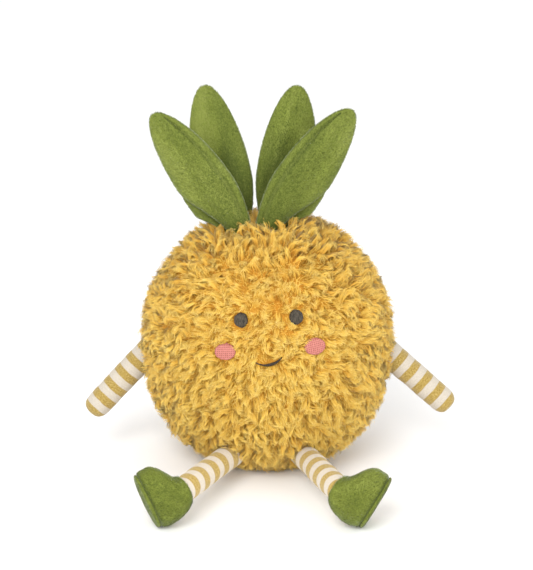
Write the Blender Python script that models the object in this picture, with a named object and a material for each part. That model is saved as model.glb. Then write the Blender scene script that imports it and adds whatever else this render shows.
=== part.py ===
"""Seated plush pineapple toy: curly plush body, four stuffed leaves, jersey limbs and velour boots.

Metres, +Z up. The origin is the centre of the flat base the toy sits on, and the face looks along -Y.
"""

import math

import bmesh
import bpy
from mathutils import Matrix, Vector

# Body: a soft superellipsoid, cut flat where it sits.
BODY_WIDTH = 0.167
BODY_DEPTH = 0.140
BODY_TOP = 0.169
WIDEST_HEIGHT = 0.086
LOWER_REACH = 0.0925
BODY_ROUNDNESS = 2.2
PLUSH_THICKNESS = 0.007
BASE_SEAM_HEIGHT = 0.0042
SEAM_GAP = 0.0003
CLEARANCE = 0.0003
FILL_GAP = 0.0008
POLE_SHARE = 0.035

# Bag of pellets that keeps the seat heavy.
POUCH_ROOM = 0.0020
POUCH_HEIGHT = 0.018

# Leaves: stuffed velour pods, sewn side by side into a slot in the top seam.
LEAF_LENGTH = 0.0990
LEAF_WIDTH = 0.0390
LEAF_BASE_SHARE = 0.62
LEAF_WIDEST_AT = 0.36
LEAF_TIP_POWER = 0.53
LEAF_TIP_WIDTH = 0.0044
LEAF_THICKNESS = 0.0100
LEAF_PANEL = 0.0012
LEAF_BOW = 0.0030
LEAF_SEAT = 0.0028
LEAF_CENTRE_X = -0.0095
CROWN_ROOM = 0.0026
# Each leaf: base offset along X in leaf widths and along Y in metres, lean sideways and lean backwards in
# degrees, and turn of its face.
LEAVES = {
    "leaf_front_left": (-0.287, -0.0062, -33.0, -2.0, -18.0),
    "leaf_front_right": (0.303, -0.0062, 32.0, -2.0, 18.0),
    "leaf_back_left": (-0.346, 0.0064, -11.5, 10.0, 4.0),
    "leaf_back_right": (0.423, 0.0064, 8.0, 10.0, -4.0),
}

# Limbs: jersey tubes with a filling.
JERSEY = 0.0010
ARM_RADIUS = 0.0091
ARM_LENGTH = 0.0572
ARM_HEIGHT = 0.0755
ARM_TAPER = 0.96
# Each arm: side of the body, angle below the horizon and swing forwards, in degrees.
ARMS = {
    "arm_left": (-1, 46.0, 14.0),
    "arm_right": (1, 40.0, 14.0),
}
LEG_RADIUS = 0.0085
LEG_LENGTH = 0.0650
LEG_HEIGHT = 0.0195
# Each leg: side, place across the body, angle out from straight ahead, then the boot's turn from the side
# and the outward tilt of its sole, in degrees.
LEGS = {
    "left": (-1, 0.0255, 25.0, 22.0, 21.0),
    "right": (1, 0.0250, 17.5, 16.0, 27.5),
}

# Boots.
BOOT_LENGTH = 0.0415
BOOT_WIDTH = 0.0225
BOOT_HEIGHT = 0.0250
BOOT_SWELL = 0.0018
BOOT_FULL_AT = 0.78
BOOT_INSTEP = 1.4
HEEL_SHARE = 0.36
BOOT_PANEL = 0.0012
SOLE_THICKNESS = 0.0034
ANKLE_OVERLAP = 0.0025
ANKLE_SPARE = 0.32 * LEG_RADIUS
FLOOR_GAP = 0.0003

# Embroidered face: centres across and up, on the body's front.
FACE_TILT = 7.0
EYE_WIDTH = 0.0088
EYE_HEIGHT = 0.0102
CHEEK_WIDTH = 0.0138
CHEEK_HEIGHT = 0.0112
MOUTH_WIDTH = 0.0180
MOUTH_SAG = 0.0036
MOUTH_LINE = 0.0015
MOUTH_TILT = 12.0
POCKET_DEPTH = 0.0015
THREAD_STAND = 0.0006
FACE = {
    "eye_left": (-0.0174, 0.1235, EYE_WIDTH, EYE_HEIGHT),
    "eye_right": (0.0187, 0.1253, EYE_WIDTH, EYE_HEIGHT),
    "cheek_left": (-0.0277, 0.1023, CHEEK_WIDTH, CHEEK_HEIGHT),
    "cheek_right": (0.0310, 0.1055, CHEEK_WIDTH, CHEEK_HEIGHT),
}
MOUTH_PLACE = (0.0011, 0.0972)

BODY_SIDES = 28
BODY_ROWS = 12
LIMB_SIDES = 14
OVAL_SIDES = 20
REACH = 0.030


def material(name, colour, roughness):
    found = bpy.data.materials.new(name)
    found.use_nodes = True
    shader = found.node_tree.nodes["Principled BSDF"]
    shader.inputs["Base Color"].default_value = (*colour, 1.0)
    shader.inputs["Roughness"].default_value = roughness
    shader.inputs["Metallic"].default_value = 0.0
    return found


MUSTARD = (0.72, 0.42, 0.07)
GREEN = (0.17, 0.27, 0.05)
STRIPE = (0.74, 0.58, 0.32)
WHITE = (0.85, 0.85, 0.83)
CANVAS = (0.60, 0.57, 0.50)
DARK = (0.07, 0.06, 0.055)
PINK = (0.75, 0.27, 0.24)


def add_object(name, mesh, colour=None, roughness=0.9):
    item = bpy.data.objects.new(name, mesh)
    bpy.context.collection.objects.link(item)
    if colour is not None:
        mesh.materials.append(material(name, colour, roughness))
        mesh.shade_smooth()
    return item


def closed_mesh(name, points, faces):
    """A mesh whose faces all point out."""
    mesh = bpy.data.meshes.new(name)
    shape = bmesh.new()
    corners = [shape.verts.new(point) for point in points]
    for face in faces:
        shape.faces.new([corners[i] for i in face])
    bmesh.ops.recalc_face_normals(shape, faces=shape.faces)
    shape.to_mesh(mesh)
    shape.free()
    return mesh


def thick_patch(name, outer, inner, columns, rows):
    """A curved sheet with a thickness: outer and inner give its two sides over u and v from 0 to 1."""
    points = []
    for side in (outer, inner):
        for row in range(rows + 1):
            for column in range(columns + 1):
                points.append(side(column / columns, row / rows))
    wide = columns + 1
    layer = wide * (rows + 1)
    faces = []
    for row in range(rows):
        for column in range(columns):
            a = row * wide + column
            faces.append((a, a + 1, a + wide + 1, a + wide))
            faces.append((layer + a, layer + a + wide, layer + a + wide + 1, layer + a + 1))
    rim = [(column, column + 1) for column in range(columns)]
    rim += [(row * wide + columns, (row + 1) * wide + columns) for row in range(rows)]
    rim += [(rows * wide + column + 1, rows * wide + column) for column in range(columns)]
    rim += [((row + 1) * wide, row * wide) for row in range(rows)]
    faces += [(b, a, layer + a, layer + b) for a, b in rim]
    return closed_mesh(name, points, faces)


def ring_solid(name, rings):
    """A solid through closed rings of points, with a flat cap at each end."""
    count = len(rings[0])
    points = [point for ring in rings for point in ring]
    faces = [tuple(range(count)), tuple(range(len(points) - count, len(points)))]
    for level in range(len(rings) - 1):
        for i in range(count):
            j = (i + 1) % count
            low = level * count
            faces.append((low + i, low + j, low + count + j, low + count + i))
    return closed_mesh(name, points, faces)


def ring_sleeve(name, outer, inner):
    """An open tube with a wall: its outer rings run out, and its inner rings come back."""
    rings = outer + inner[::-1]
    count = len(rings[0])
    points = [point for ring in rings for point in ring]
    faces = []
    for level in range(len(rings)):
        after = (level + 1) % len(rings)
        for i in range(count):
            j = (i + 1) % count
            faces.append((level * count + i, level * count + j, after * count + j, after * count + i))
    return closed_mesh(name, points, faces)


def ring_pocket(name, outer, inner):
    """A tube with a wall, open at its first rings and closed at its last."""
    return ring_solid(name, outer[::-1] + inner)


def cut(target, cutters):
    for cutter in cutters:
        modifier = target.modifiers.new(cutter.name, "BOOLEAN")
        modifier.operation = "DIFFERENCE"
        modifier.solver = "EXACT"
        modifier.object = cutter


def guide(item):
    item.hide_render = True
    item.display_type = "WIRE"
    return item


def body_radii(inset):
    upper = BODY_TOP - WIDEST_HEIGHT - inset
    return BODY_WIDTH / 2 - inset, BODY_DEPTH / 2 - inset, upper, LOWER_REACH - inset


def body_share(height, inset=0.0):
    """How wide the body is at a height, as a share of its widest."""
    _, _, upper, lower = body_radii(inset)
    reach = upper if height > WIDEST_HEIGHT else lower
    off = min(1.0, abs(height - WIDEST_HEIGHT) / reach)
    return (1.0 - off**BODY_ROUNDNESS) ** (1.0 / BODY_ROUNDNESS)


def body_point(turn, height, inset=0.0):
    half_width, half_depth, _, _ = body_radii(inset)
    share = body_share(height, inset)
    return Vector((half_width * share * math.cos(turn), half_depth * share * math.sin(turn), height))


def body_level(share, inset):
    """The height above the widest level where the body has a given share of its width."""
    _, _, upper, _ = body_radii(inset)
    return WIDEST_HEIGHT + upper * (1.0 - share**BODY_ROUNDNESS) ** (1.0 / BODY_ROUNDNESS)


def front_point(across, height, inset=0.0):
    """The point on the body's front at a place across and up, and the direction straight out of it."""
    half_width, half_depth, upper, lower = body_radii(inset)
    share = body_share(height, inset)
    ahead = half_depth * math.sqrt(max(0.0, share**2 - (across / half_width) ** 2))
    point = Vector((across, -ahead, height))
    reach = upper if height > WIDEST_HEIGHT else lower
    off = (height - WIDEST_HEIGHT) / reach
    round_part = (across / half_width) ** 2 + (ahead / half_depth) ** 2
    scale = BODY_ROUNDNESS * round_part ** (BODY_ROUNDNESS / 2 - 1)
    slope_x = scale * across / half_width**2
    slope_y = scale * -ahead / half_depth**2
    slope_z = BODY_ROUNDNESS * math.copysign(abs(off) ** (BODY_ROUNDNESS - 1), off) / reach
    return point, Vector((slope_x, slope_y, slope_z)).normalized()


def body_row(v, inset):
    """The height of the body's rows, from the base seam at 0 to the small opening at the pole at 1."""
    low = BASE_SEAM_HEIGHT + SEAM_GAP
    top = body_level(POLE_SHARE, inset)
    rise = math.sin(math.pi * (v - 0.5))
    return WIDEST_HEIGHT + rise * ((top - WIDEST_HEIGHT) if rise > 0 else (WIDEST_HEIGHT - low))


def body_panel(name, start_turn, shift):
    """Half of the plush cover, from the base seam to a small opening that the crown cut widens."""

    def side(inset):
        def at(u, v):
            height = body_row(v, inset)
            return body_point(start_turn + math.pi * u, height, inset) + Vector((0, shift, 0))

        return at

    mesh = thick_patch(name, side(0.0), side(PLUSH_THICKNESS), BODY_SIDES // 2, BODY_ROWS)
    return add_object(name, mesh, MUSTARD, 0.95)


def oval(centre, along, across, half_along, half_across, count):
    """A ring of points: half_along may be a pair, ahead and behind."""
    ahead, behind = half_along if isinstance(half_along, tuple) else (half_along, half_along)
    ring = []
    for i in range(count):
        angle = 2 * math.pi * i / count
        reach = ahead if math.cos(angle) > 0 else behind
        ring.append(centre + along * (reach * math.cos(angle)) + across * (half_across * math.sin(angle)))
    return ring


def flat_oval(height, half_width, half_depth, count):
    return oval(Vector((0, 0, height)), Vector((1, 0, 0)), Vector((0, 1, 0)), half_width, half_depth, count)


def make_base():
    rings = []
    for height in (0.0, BASE_SEAM_HEIGHT):
        share = body_share(height)
        rings.append(flat_oval(height, BODY_WIDTH / 2 * share, BODY_DEPTH / 2 * share, BODY_SIDES))
    return add_object("body_base_panel", ring_solid("body_base_panel", rings), MUSTARD, 0.95)


def make_filling():
    inset = PLUSH_THICKNESS + FILL_GAP
    half_width, half_depth, _, _ = body_radii(inset)
    rings = []
    for row in range(BODY_ROWS + 1):
        height = body_row(row / BODY_ROWS, inset)
        share = body_share(height, inset)
        rings.append(flat_oval(height, half_width * share, half_depth * share, BODY_SIDES))
    return add_object("body_stuffing", ring_solid("body_stuffing", rings), WHITE, 0.95)


def pouch_rings(grow, low):
    """A flattened bag, as wide as the cover's floor allows: a flat bottom and a shallow crown."""
    floor = BASE_SEAM_HEIGHT + SEAM_GAP
    share = body_share(floor, PLUSH_THICKNESS)
    inner_width, inner_depth, _, _ = body_radii(PLUSH_THICKNESS)
    half_width = inner_width * share - POUCH_ROOM + grow
    half_depth = inner_depth * share - POUCH_ROOM + grow
    rings = [flat_oval(low, half_width, half_depth, OVAL_SIDES)]
    for rise in (0.0, 0.35, 0.65, 0.87, 0.98):
        wide = math.sqrt(1.0 - rise**2)
        height = floor + 0.35 * POUCH_HEIGHT + 0.65 * (POUCH_HEIGHT + grow) * rise
        rings.append(flat_oval(height, half_width * wide, half_depth * wide, OVAL_SIDES))
    return rings


def make_pouch():
    rings = pouch_rings(0.0, BASE_SEAM_HEIGHT + SEAM_GAP)
    pouch = add_object("bean_pouch", ring_solid("bean_pouch", rings), CANVAS, 0.9)
    recess_mesh = ring_solid("pouch_recess", pouch_rings(CLEARANCE, 0.0))
    return pouch, guide(add_object("pouch_recess", recess_mesh))


def leaf_half_width(v):
    if v < LEAF_WIDEST_AT:
        swell = math.sin(math.pi / 2 * max(0.0, v) / LEAF_WIDEST_AT)
        return LEAF_WIDTH / 2 * (LEAF_BASE_SHARE + (1 - LEAF_BASE_SHARE) * swell)
    narrow = math.cos(math.pi / 2 * min(1.0, (v - LEAF_WIDEST_AT) / (1 - LEAF_WIDEST_AT)))
    return max(LEAF_TIP_WIDTH / 2, LEAF_WIDTH / 2 * max(0.0, narrow) ** LEAF_TIP_POWER)


def leaf_dome(u, v):
    """How far one side of a leaf stands off its seam, before its own thickness."""
    along = max(0.0, math.sin(math.pi * (0.12 + 0.86 * v))) ** 0.7
    return LEAF_THICKNESS / 2 * along * max(0.0, 1.0 - u * u) ** 0.6


def crown_cutter():
    """A slot through the top of the plush, as long and deep as the leaves' ends need."""
    half_width = 0.0
    half_depth = 0.0
    for widths_across, offset_y, lean_side, _, turn in LEAVES.values():
        lean = math.radians(abs(lean_side))
        exit_half = leaf_half_width(2 * LEAF_SEAT / LEAF_LENGTH)
        thick = leaf_dome(0.0, 2 * LEAF_SEAT / LEAF_LENGTH) + LEAF_PANEL + SEAM_GAP
        reach = abs(widths_across) * LEAF_WIDTH + exit_half * math.cos(lean) + 2 * LEAF_SEAT * math.tan(lean)
        half_width = max(half_width, reach + CROWN_ROOM)
        spread = exit_half * math.sin(math.radians(abs(turn))) * 0.5
        half_depth = max(half_depth, abs(offset_y) + thick + spread + CROWN_ROOM)
    far = (half_width + abs(LEAF_CENTRE_X)) / (BODY_WIDTH / 2 - PLUSH_THICKNESS)
    low = body_level(min(0.99, far), PLUSH_THICKNESS) - PLUSH_THICKNESS
    rings = []
    for height in (low, BODY_TOP + REACH):
        ring = []
        for i in range(OVAL_SIDES):
            angle = 2 * math.pi * (i + 0.5) / OVAL_SIDES
            across = math.copysign(math.sqrt(abs(math.cos(angle))), math.cos(angle))
            ahead = math.copysign(math.sqrt(abs(math.sin(angle))), math.sin(angle))
            ring.append(Vector((LEAF_CENTRE_X + half_width * across, half_depth * ahead, height)))
        rings.append(ring)
    return guide(add_object("crown_opening", ring_solid("crown_opening", rings)))


def make_leaf(name, place):
    widths_across, offset_y, lean_side, lean_back, turn = place
    side = math.radians(lean_side)
    back = math.radians(lean_back)
    direction = Vector((math.sin(side), math.sin(back) * math.cos(side), math.cos(back) * math.cos(side)))
    direction.normalize()
    facing = Vector((math.sin(math.radians(turn)), -math.cos(math.radians(turn)), 0))
    facing = (facing - direction * facing.dot(direction)).normalized()
    across = direction.cross(facing)
    seat_x = LEAF_CENTRE_X + widths_across * LEAF_WIDTH
    top = body_level(abs(seat_x) / (BODY_WIDTH / 2), 0.0)
    seat = Vector((seat_x, offset_y, top - LEAF_SEAT))

    def at(u, v, lift):
        spread = (2 * u - 1) * leaf_half_width(v)
        bow = -LEAF_BOW * math.sin(math.pi * v)
        return seat + direction * (LEAF_LENGTH * v) + across * spread + facing * (lift + bow)

    def panel(part, sign):
        def outer(u, v):
            return at(u, v, sign * (SEAM_GAP / 2 + LEAF_PANEL + leaf_dome(2 * u - 1, v)))

        def inner(u, v):
            return at(u, v, sign * (SEAM_GAP / 2 + leaf_dome(2 * u - 1, v)))

        mesh = thick_patch(part, outer, inner, 6, 12)
        add_object(part, mesh, GREEN, 0.9)

    panel(name + "_front_panel", 1)
    panel(name + "_back_panel", -1)

    def filling_ring(v):
        ring = []
        reach = 0.86
        for step in range(12):
            angle = 2 * math.pi * step / 12
            u = reach * math.cos(angle)
            limit = max(0.0, leaf_dome(u, v) - CLEARANCE)
            lift = limit * math.sin(angle)
            ring.append(at((u + 1) / 2, v, lift))
        return ring

    rings = [filling_ring(0.06 + 0.84 * step / 8) for step in range(9)]
    add_object(name + "_stuffing", ring_solid(name + "_stuffing", rings), WHITE, 0.95)


def frame_of(direction, hint):
    along = (hint - direction * hint.dot(direction)).normalized()
    return along, direction.cross(along)


def tube_rings(start, direction, stations):
    """Rings round a straight line, each station a distance along it and a radius."""
    along, across = frame_of(direction, Vector((0, 0, 1)))
    rings = []
    for far, radius in stations:
        rings.append(oval(start + direction * far, along, across, radius, radius, LIMB_SIDES))
    return rings


def limb_cutter(name, start, direction, radius, tuck):
    stations = ((-tuck - CLEARANCE, radius + CLEARANCE), (REACH, radius + CLEARANCE))
    rings = tube_rings(start, direction, stations)
    return guide(add_object(name, ring_solid(name, rings)))


def rounded_tip(length, radius, tip):
    """Stations of a tube that narrows a little and closes in a dome."""
    stations = []
    for share in (0.0, 0.25, 0.5, 0.72):
        stations.append(((length - tip) * share / 0.72, radius * (1 - (1 - ARM_TAPER) * share)))
    end = radius * (1 - (1 - ARM_TAPER) * 0.72)
    for angle in (25, 48, 68, 82):
        turn = math.radians(angle)
        stations.append((length - tip + tip * math.sin(turn), end * math.cos(turn)))
    return stations


def limb_tuck(direction, outward):
    """How far back along a limb its end lies, so that it passes the whole plush panel."""
    return PLUSH_THICKNESS / max(0.5, direction.dot(outward))


def make_arm(name, place):
    side, below, forward = place
    down = math.radians(below)
    swing = math.radians(forward)
    ahead = -math.sin(swing) * math.cos(down)
    direction = Vector((side * math.cos(down), ahead, -math.sin(down))).normalized()
    start = body_point(0.0 if side > 0 else math.pi, ARM_HEIGHT)
    tuck = limb_tuck(direction, Vector((side, 0, 0)))
    total = ARM_LENGTH + tuck
    outer = rounded_tip(total, ARM_RADIUS, ARM_RADIUS)
    inner_radius = ARM_RADIUS - JERSEY
    inner = rounded_tip(total - JERSEY, inner_radius, inner_radius)
    base = start - direction * tuck
    sleeve = ring_pocket(name, tube_rings(base, direction, outer), tube_rings(base, direction, inner))
    add_object(name + "_sleeve", sleeve, STRIPE, 0.9)
    core_radius = inner_radius - CLEARANCE
    core = rounded_tip(total - JERSEY - 2 * CLEARANCE, core_radius, core_radius)
    filling = ring_solid(name + "_stuffing", tube_rings(base, direction, core))
    add_object(name + "_stuffing", filling, WHITE, 0.95)
    return limb_cutter(name + "_hole", start, direction, ARM_RADIUS, tuck)


class Boot:
    """The boot's frame: toe is along its sole, out is straight out of the sole, wide is across it."""

    def __init__(self, place):
        side, _, heading, turn, tilt = place
        turned = math.radians(turn)
        tilted = math.radians(tilt)
        self.side = side
        level = Vector((side * math.cos(turned), -math.sin(turned), 0))
        self.toe = level * math.sin(tilted) + Vector((0, 0, math.cos(tilted)))
        self.out = level * math.cos(tilted) - Vector((0, 0, math.sin(tilted)))
        self.wide = self.out.cross(self.toe)
        ahead = math.radians(heading)
        self.level_leg = Vector((side * math.sin(ahead), -math.cos(ahead), 0))
        start, outward = front_point(side * place[1], LEG_HEIGHT)
        ankle_height = self.resting_height()
        rise = ankle_height - start.z
        self.start = start
        self.ankle = start + self.level_leg * math.sqrt(LEG_LENGTH**2 - rise**2) + Vector((0, 0, rise))
        self.leg = (self.ankle - start).normalized()
        self.under = self.ankle + self.out * BOOT_HEIGHT
        self.tuck = limb_tuck(self.leg, outward)

    def resting_height(self):
        """The ankle's height when the heel's fullest ring, or the sole's edge, touches the floor."""
        heel = BOOT_LENGTH * HEEL_SHARE
        full_up = BOOT_HEIGHT * (1 - BOOT_FULL_AT)
        fullest = -self.toe.z * (heel + BOOT_SWELL) - self.out.z * full_up
        edge = min(point.z for ring in self.sole_rings(Vector((0, 0, 0))) for point in ring)
        return FLOOR_GAP - min(fullest, edge) - self.out.z * BOOT_HEIGHT

    def sole_outline(self, centre, share):
        toe = BOOT_LENGTH * (1 - HEEL_SHARE) * share
        heel = BOOT_LENGTH * HEEL_SHARE * share
        return oval(centre, self.toe, self.wide, (toe, heel), BOOT_WIDTH / 2 * share, OVAL_SIDES)

    def sole_rings(self, centre):
        rings = []
        for depth, share in ((0.0, 1.0), (0.45, 0.99), (0.82, 0.88), (1.0, 0.66)):
            rings.append(self.sole_outline(centre + self.out * (SEAM_GAP + SOLE_THICKNESS * depth), share))
        return rings

    def ring(self, t, inset):
        """A ring of the boot's upper, from the ankle at 0 to the sole's seam at 1."""
        ankle_radius = LEG_RADIUS + CLEARANCE + BOOT_PANEL
        first = self.ankle + self.leg * (BOOT_HEIGHT * 0.36)
        second = self.under - self.out * (BOOT_HEIGHT * 0.40)
        s = 1 - t
        centre = self.ankle * s**3 + first * (3 * s * s * t) + second * (3 * s * t * t) + self.under * t**3
        normal = (self.leg * s + self.out * t).normalized()
        along, across = frame_of(normal, self.toe)
        rise = min(1.0, t / BOOT_FULL_AT)
        instep = (1 - math.cos(math.pi * rise**BOOT_INSTEP)) / 2
        flank = math.sin(math.pi / 2 * rise)
        spare = BOOT_SWELL * math.cos(math.pi / 2 * max(0.0, t - BOOT_FULL_AT) / (1 - BOOT_FULL_AT))
        toe = ankle_radius + (BOOT_LENGTH * (1 - HEEL_SHARE) + spare - ankle_radius) * instep
        heel = ankle_radius + (BOOT_LENGTH * HEEL_SHARE + spare - ankle_radius) * flank
        half = ankle_radius + (BOOT_WIDTH / 2 + spare - ankle_radius) * flank
        return oval(centre, along, across, (toe - inset, heel - inset), half - inset, OVAL_SIDES)


def make_leg(name, boot):
    base = boot.start - boot.leg * boot.tuck
    length = LEG_LENGTH + boot.tuck + ANKLE_OVERLAP
    shares = (0.0, 0.34, 0.67, 1.0)
    outer = tube_rings(base, boot.leg, [(length * share, LEG_RADIUS) for share in shares])
    inner = tube_rings(base, boot.leg, [(length * share, LEG_RADIUS - JERSEY) for share in shares])
    add_object(name + "_sleeve", ring_sleeve(name + "_sleeve", outer, inner), STRIPE, 0.9)
    core_radius = LEG_RADIUS - JERSEY - CLEARANCE
    core = tube_rings(base, boot.leg, [(length * share, core_radius) for share in shares])
    add_object(name + "_stuffing", ring_solid(name + "_stuffing", core), WHITE, 0.95)
    return limb_cutter(name + "_hole", boot.start, boot.leg, LEG_RADIUS, boot.tuck)


def make_boot(name, boot):
    steps = 8
    outer = [boot.ring(step / steps, 0.0) for step in range(steps + 1)]
    inner = [boot.ring(step / steps, BOOT_PANEL) for step in range(steps + 1)]
    add_object(name + "_upper", ring_sleeve(name + "_upper", outer, inner), GREEN, 0.9)
    sole = ring_solid(name + "_sole", boot.sole_rings(boot.under))
    add_object(name + "_sole", sole, GREEN, 0.9)
    inset = BOOT_PANEL + FILL_GAP
    first = (ANKLE_OVERLAP + ANKLE_SPARE) / BOOT_HEIGHT
    rings = [boot.ring(first + (1 - first) * step / steps, inset) for step in range(steps + 1)]
    add_object(name + "_stuffing", ring_solid(name + "_stuffing", rings), WHITE, 0.95)


def face_frame(across, height, turn=FACE_TILT):
    """A frame on the body's front: where, straight out, and the tilted across and up directions."""
    point, out = front_point(across, height)
    level = Vector((0, 0, 1)).cross(out).normalized()
    upright = out.cross(level)
    tilt = Matrix.Rotation(math.radians(turn), 3, out)
    return point, out, tilt @ -level, tilt @ upright


def patch_rings(frame, half_width, half_height, levels):
    point, out, across, up = frame
    return [oval(point + out * level, across, up, half_width * share, half_height * share, OVAL_SIDES)
            for level, share in levels]


def make_patch(name, across, height, width, tall, colour):
    """A low mound of satin stitch in a shallow pocket of the plush."""
    frame = face_frame(across, height)
    levels = ((-POCKET_DEPTH, 1.0), (THREAD_STAND * 0.3, 1.0), (THREAD_STAND, 0.8))
    mound = ring_solid(name, patch_rings(frame, width / 2, tall / 2, levels))
    add_object(name, mound, colour, 0.7)
    around = ((-POCKET_DEPTH - CLEARANCE, 1.0), (REACH / 3, 1.0))
    hole = patch_rings(frame, width / 2 + CLEARANCE, tall / 2 + CLEARANCE, around)
    return guide(add_object(name + "_pocket", ring_solid(name + "_pocket", hole)))


def smile_outline(frame, level, grow):
    """The smile's outline at a level above the body: a bent strip with round ends."""
    point, out, across, up = frame
    half = MOUTH_WIDTH / 2
    radius = (half**2 + MOUTH_SAG**2) / (2 * MOUTH_SAG)
    sweep = math.asin(half / radius)
    centre = up * (radius - MOUTH_SAG / 2)
    thick = MOUTH_LINE / 2 + grow
    steps = 10

    def on_arc(angle, reach):
        sideways = across * (reach * math.sin(angle))
        return point + out * level + centre + sideways - up * (reach * math.cos(angle))

    angles = [sweep * (2 * i / steps - 1) for i in range(steps + 1)]
    ring = [on_arc(angle, radius + thick) for angle in angles]
    ring.append(on_arc(sweep + thick / radius, radius))
    ring += [on_arc(angle, radius - thick) for angle in reversed(angles)]
    ring.append(on_arc(-sweep - thick / radius, radius))
    return ring


def make_mouth():
    frame = face_frame(*MOUTH_PLACE, MOUTH_TILT)
    levels = (-POCKET_DEPTH, THREAD_STAND)
    smile = ring_solid("mouth", [smile_outline(frame, level, 0.0) for level in levels])
    add_object("mouth", smile, DARK, 0.7)
    levels = (-POCKET_DEPTH - CLEARANCE, REACH / 3)
    hole = ring_solid("mouth_pocket", [smile_outline(frame, level, CLEARANCE) for level in levels])
    return guide(add_object("mouth_pocket", hole))


def main():
    for item in list(bpy.data.objects):
        bpy.data.objects.remove(item)
    front = body_panel("body_front_panel", math.pi, -SEAM_GAP / 2)
    back = body_panel("body_back_panel", 0.0, SEAM_GAP / 2)
    make_base()
    filling = make_filling()
    _, recess = make_pouch()
    crown = crown_cutter()
    for name, place in LEAVES.items():
        make_leaf(name, place)
    arm_holes = [make_arm(name, place) for name, place in ARMS.items()]
    leg_holes = []
    for side, place in LEGS.items():
        boot = Boot(place)
        leg_holes.append(make_leg("leg_" + side, boot))
        make_boot("foot_" + side, boot)
    pockets = []
    for name, place in FACE.items():
        colour = DARK if name.startswith("eye") else PINK
        pockets.append(make_patch(name, *place, colour))
    pockets.append(make_mouth())
    cut(front, [crown] + arm_holes + leg_holes + pockets)
    cut(back, [crown] + arm_holes)
    cut(filling, [recess, crown] + arm_holes + leg_holes)


main()
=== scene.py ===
"""Looks of the seated plush pineapple toy: curly plush body, velour leaves and boots, striped jersey limbs."""

import math

import bmesh
import bpy
import numpy as np
from mathutils import Matrix, Vector, noise


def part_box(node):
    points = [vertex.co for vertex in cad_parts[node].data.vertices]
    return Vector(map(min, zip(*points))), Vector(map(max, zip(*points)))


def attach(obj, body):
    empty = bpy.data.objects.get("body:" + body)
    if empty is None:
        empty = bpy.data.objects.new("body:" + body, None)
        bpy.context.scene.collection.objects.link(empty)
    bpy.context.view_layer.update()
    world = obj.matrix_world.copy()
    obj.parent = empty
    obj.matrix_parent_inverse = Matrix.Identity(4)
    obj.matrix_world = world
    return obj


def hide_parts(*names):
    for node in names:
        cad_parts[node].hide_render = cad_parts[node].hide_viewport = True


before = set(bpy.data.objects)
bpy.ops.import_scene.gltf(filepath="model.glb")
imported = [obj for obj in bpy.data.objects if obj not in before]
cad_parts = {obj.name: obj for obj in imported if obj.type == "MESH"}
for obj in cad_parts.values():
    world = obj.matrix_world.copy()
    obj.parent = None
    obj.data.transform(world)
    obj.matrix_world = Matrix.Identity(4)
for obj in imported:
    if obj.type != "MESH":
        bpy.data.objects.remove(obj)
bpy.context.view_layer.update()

# Body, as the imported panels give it.
front_low, front_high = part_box("body_front_panel")
back_low, back_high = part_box("body_back_panel")
HALF_WIDTH = (front_high.x - front_low.x) / 2
HALF_DEPTH = (back_high.y - front_low.y) / 2
WIDEST_HEIGHT = 0.086
BODY_TOP = 0.169
LOWER_REACH = 0.0925
ROUNDNESS = 2.2
SKIN_INSET = 0.0034
FLOOR_CLEAR = 0.0004

# Curly plush, and how far behind the face's patches and the limbs' roots it still gives way.
LOCK_SPACING = 0.0043
LOCK_RADIUS = 0.0033
LOCK_STRANDS = 40
STRAND_WIDTH = 0.00036
STRAND_TAPER = (1.0, 1.0, 0.95, 0.78, 0.28)
STRAND_STEPS = len(STRAND_TAPER) - 1
FUR_HEIGHT = 0.0073
FUR_REACH = 0.0048
FUR_PIECES = 6
UNDERCOAT = 48000
UNDERCOAT_HEIGHT = 0.0046
PATCH_DEPTH = 0.012
LIMB_BACK = 0.012

# Velour pile: a fibre's width, the painted shade above which none grows, and how far its noise is drawn out.
PILE_WIDTH = 0.00024
PILE_STOPS_AT = 0.60
PILE_STRETCH = 0.22

# Leaves, as in the CAD: offset along X in leaf widths and along Y, lean sideways and backwards, face's turn.
LEAF_LENGTH = 0.0990
LEAF_WIDTH = 0.0390
LEAF_BASE_SHARE = 0.62
LEAF_WIDEST_AT = 0.36
LEAF_TIP_POWER = 0.48
LEAF_THICKNESS = 0.0124
LEAF_BOW = 0.0030
LEAF_SEAT = 0.0028
LEAF_CENTRE_X = -0.0095
LEAF_SHORTER = {"leaf_back_left": 0.985, "leaf_back_right": 0.955}
LEAVES = {
    "leaf_front_left": (-0.287, -0.0062, -33.0, -2.0, -18.0),
    "leaf_front_right": (0.303, -0.0062, 32.0, -2.0, 18.0),
    "leaf_back_left": (-0.346, 0.0064, -11.5, 10.0, 4.0),
    "leaf_back_right": (0.423, 0.0064, 8.0, 10.0, -4.0),
}

# Limbs and boots, as in the CAD.
ARM_RADIUS = 0.0091
ARM_LENGTH = 0.0572
ARM_HEIGHT = 0.0755
ARM_TAPER = 0.96
ARMS = {"arm_left": (-1, 46.0, 14.0), "arm_right": (1, 40.0, 14.0)}
LEG_RADIUS = 0.0085
LEG_LENGTH = 0.0650
LEG_HEIGHT = 0.0195
LEGS = {"left": (-1, 0.0255, 25.0, 22.0, 21.0), "right": (1, 0.0250, 17.5, 16.0, 27.5)}
BOOT_LENGTH = 0.0415
BOOT_WIDTH = 0.0225
BOOT_HEIGHT = 0.0250
BOOT_SWELL = 0.0018
BOOT_FULL_AT = 0.78
BOOT_INSTEP = 1.4
HEEL_SHARE = 0.36
BOOT_PANEL = 0.0012
SOLE_THICKNESS = 0.0034
FLOOR_GAP = 0.0003
BOOT_GAP = 0.0003
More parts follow.
